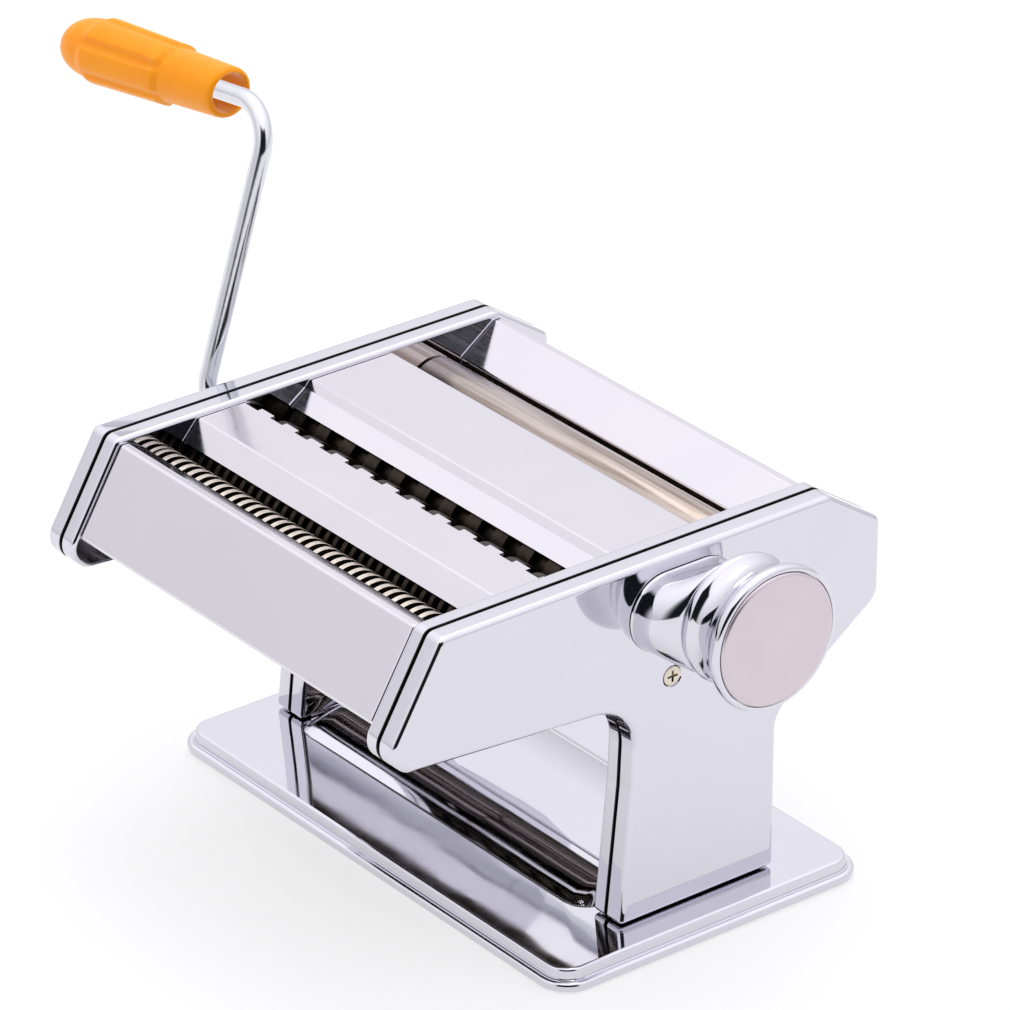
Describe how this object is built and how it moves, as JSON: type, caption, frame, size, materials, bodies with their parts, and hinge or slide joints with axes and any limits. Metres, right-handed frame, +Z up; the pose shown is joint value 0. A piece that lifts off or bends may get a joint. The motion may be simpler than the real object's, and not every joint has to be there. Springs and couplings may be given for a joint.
{
  "type": "manual pasta roller machine",
  "caption": "Hand-cranked pasta machine with smooth rollers, a wide and a fine strip cutter, a thickness knob, chrome sides on a pressed base and an orange-gripped crank.",
  "frame": {"origin": "bottom centre of the whole machine's bounding box, on the table under it", "axes": "+X along the rollers towards the thickness knob (the crank is at -X), +Y towards the rear hopper, +Z up"},
  "size_m": [0.3406, 0.1904, 0.2175],
  "materials": {
    "chrome_plate": "bright nickel-chrome plating over pressed steel",
    "bright_pressed_steel": "bright rolled stainless sheet",
    "turned_roller_steel": "ground and plated steel with fine turning marks",
    "plated_cutter_steel": "plated machined steel, slightly warm",
    "hardened_gear_steel": "hardened gear steel, lightly oiled",
    "plated_bar_steel": "bright plated bar, drawn along its length",
    "plated_screw_steel": "plated screw steel",
    "orange_plastic": "satin moulded orange polypropylene",
    "black_rubber": "matt black rubber",
    "white_nylon": "natural nylon",
    "spring_steel": "bright spring wire",
    "satin_dial_aluminium": "satin metal dial plate"
  },
  "bodies": {
    "machine_frame": {"base_plate": "chrome_plate", "base_screw_front_left": "plated_screw_steel", "base_screw_front_right": "plated_screw_steel", "base_screw_rear_left": "plated_screw_steel", "base_screw_rear_right": "plated_screw_steel", "rubber_foot_front_left": "black_rubber", "rubber_foot_front_right": "black_rubber", "rubber_foot_rear_left": "black_rubber", "rubber_foot_rear_right": "black_rubber", "side_frame_left": "chrome_plate", "side_frame_right": "chrome_plate", "side_cover_left": "chrome_plate", "side_cover_right": "chrome_plate", "cover_screw_left": "plated_screw_steel", "cover_screw_right": "plated_screw_steel", "tie_rod_front": "plated_bar_steel", "tie_rod_middle": "plated_bar_steel", "tie_rod_rear": "plated_bar_steel", "front_panel": "bright_pressed_steel", "narrow_top_plate": "bright_pressed_steel", "wide_top_plate": "bright_pressed_steel", "rear_panel": "bright_pressed_steel", "fine_comb_front": "bright_pressed_steel", "fine_comb_rear": "bright_pressed_steel", "wide_comb_front": "bright_pressed_steel", "wide_comb_rear": "bright_pressed_steel", "scraper_front": "bright_pressed_steel", "scraper_rear": "bright_pressed_steel", "regulator_boss": "chrome_plate"},
    "fine_cutter_front_shaft": {"fine_cutter_front": "plated_cutter_steel", "fine_gear_front": "hardened_gear_steel"},
    "fine_cutter_rear_shaft": {"fine_cutter_rear": "plated_cutter_steel", "fine_gear_rear": "hardened_gear_steel"},
    "wide_cutter_front_shaft": {"wide_cutter_front": "plated_cutter_steel", "wide_gear_front": "hardened_gear_steel"},
    "wide_cutter_rear_shaft": {"wide_cutter_rear": "plated_cutter_steel", "wide_gear_rear": "hardened_gear_steel"},
    "smooth_rear_shaft": {"smooth_roller_rear": "turned_roller_steel", "smooth_gear_rear": "hardened_gear_steel"},
    "smooth_front_shaft": {"smooth_roller_front": "turned_roller_steel", "smooth_gear_front": "hardened_gear_steel"},
    "roller_carriage": {"roller_bearing_left": "white_nylon", "roller_bearing_right": "white_nylon"},
    "crank": {"crank_rod": "plated_bar_steel"},
    "crank_handle": {"crank_grip": "orange_plastic"},
    "regulator_shaft": {"regulator_spindle": "plated_screw_steel", "knob_spring": "spring_steel"},
    "regulator_dial_knob": {"regulator_knob": "chrome_plate", "knob_dial": "satin_dial_aluminium", "knob_set_screw": "plated_screw_steel"}
  },
  "joints": [
    {"name": "wide_cutter_turn", "type": "hinge", "parent": "machine_frame", "child": "wide_cutter_front_shaft", "pos_m": [0.04467, -0.02166, 0.115], "axis": [1, 0, 0], "continuous": true},
    {"name": "wide_cutter_rear_turn", "type": "hinge", "parent": "machine_frame", "child": "wide_cutter_rear_shaft", "pos_m": [0.04467, -0.00316, 0.115], "axis": [1, 0, 0], "continuous": true},
    {"name": "fine_cutter_turn", "type": "hinge", "parent": "machine_frame", "child": "fine_cutter_front_shaft", "pos_m": [0.04467, -0.06086, 0.115], "axis": [1, 0, 0], "continuous": true},
    {"name": "fine_cutter_rear_turn", "type": "hinge", "parent": "machine_frame", "child": "fine_cutter_rear_shaft", "pos_m": [0.04467, -0.04346, 0.115], "axis": [1, 0, 0], "continuous": true},
    {"name": "roller_turn", "type": "hinge", "parent": "machine_frame", "child": "smooth_rear_shaft", "pos_m": [0.04467, 0.04734, 0.114], "axis": [1, 0, 0], "continuous": true},
    {"name": "roller_gap", "type": "slide", "parent": "machine_frame", "child": "roller_carriage", "axis": [0, -1, 0], "range_m": [0, 0.0026]},
    {"name": "adjustable_roller_turn", "type": "hinge", "parent": "roller_carriage", "child": "smooth_front_shaft", "pos_m": [0.04467, 0.02664, 0.114], "axis": [1, 0, 0], "continuous": true},
    {"name": "crank_pull", "type": "slide", "parent": "wide_cutter_front_shaft", "child": "crank", "axis": [-1, 0, 0], "range_m": [0, 0.016]},
    {"name": "grip_spin", "type": "hinge", "parent": "crank", "child": "crank_handle", "pos_m": [-0.06363, 0.00838, 0.21143], "axis": [-0.993, -0.0352, -0.113], "continuous": true},
    {"name": "regulator_turn", "type": "hinge", "parent": "machine_frame", "child": "regulator_shaft", "pos_m": [0.14467, 0.02354, 0.114], "axis": [1, 0, 0], "range_deg": [0, 180]},
    {"name": "knob_pull", "type": "slide", "parent": "regulator_shaft", "child": "regulator_dial_knob", "axis": [1, 0, 0], "range_m": [0, 0.004], "stiffness_N_per_m": 800, "springref_m": -0.004, "deforming": ["knob_spring"]}
  ],
  "couplings": [
    {"joint": "wide_cutter_rear_turn", "follows": "wide_cutter_turn", "ratio": -1},
    {"joint": "fine_cutter_rear_turn", "follows": "fine_cutter_turn", "ratio": -1},
    {"joint": "adjustable_roller_turn", "follows": "roller_turn", "ratio": -1},
    {"joint": "roller_gap", "follows": "regulator_turn", "m_per_rad": 0.00082761}
  ]
}
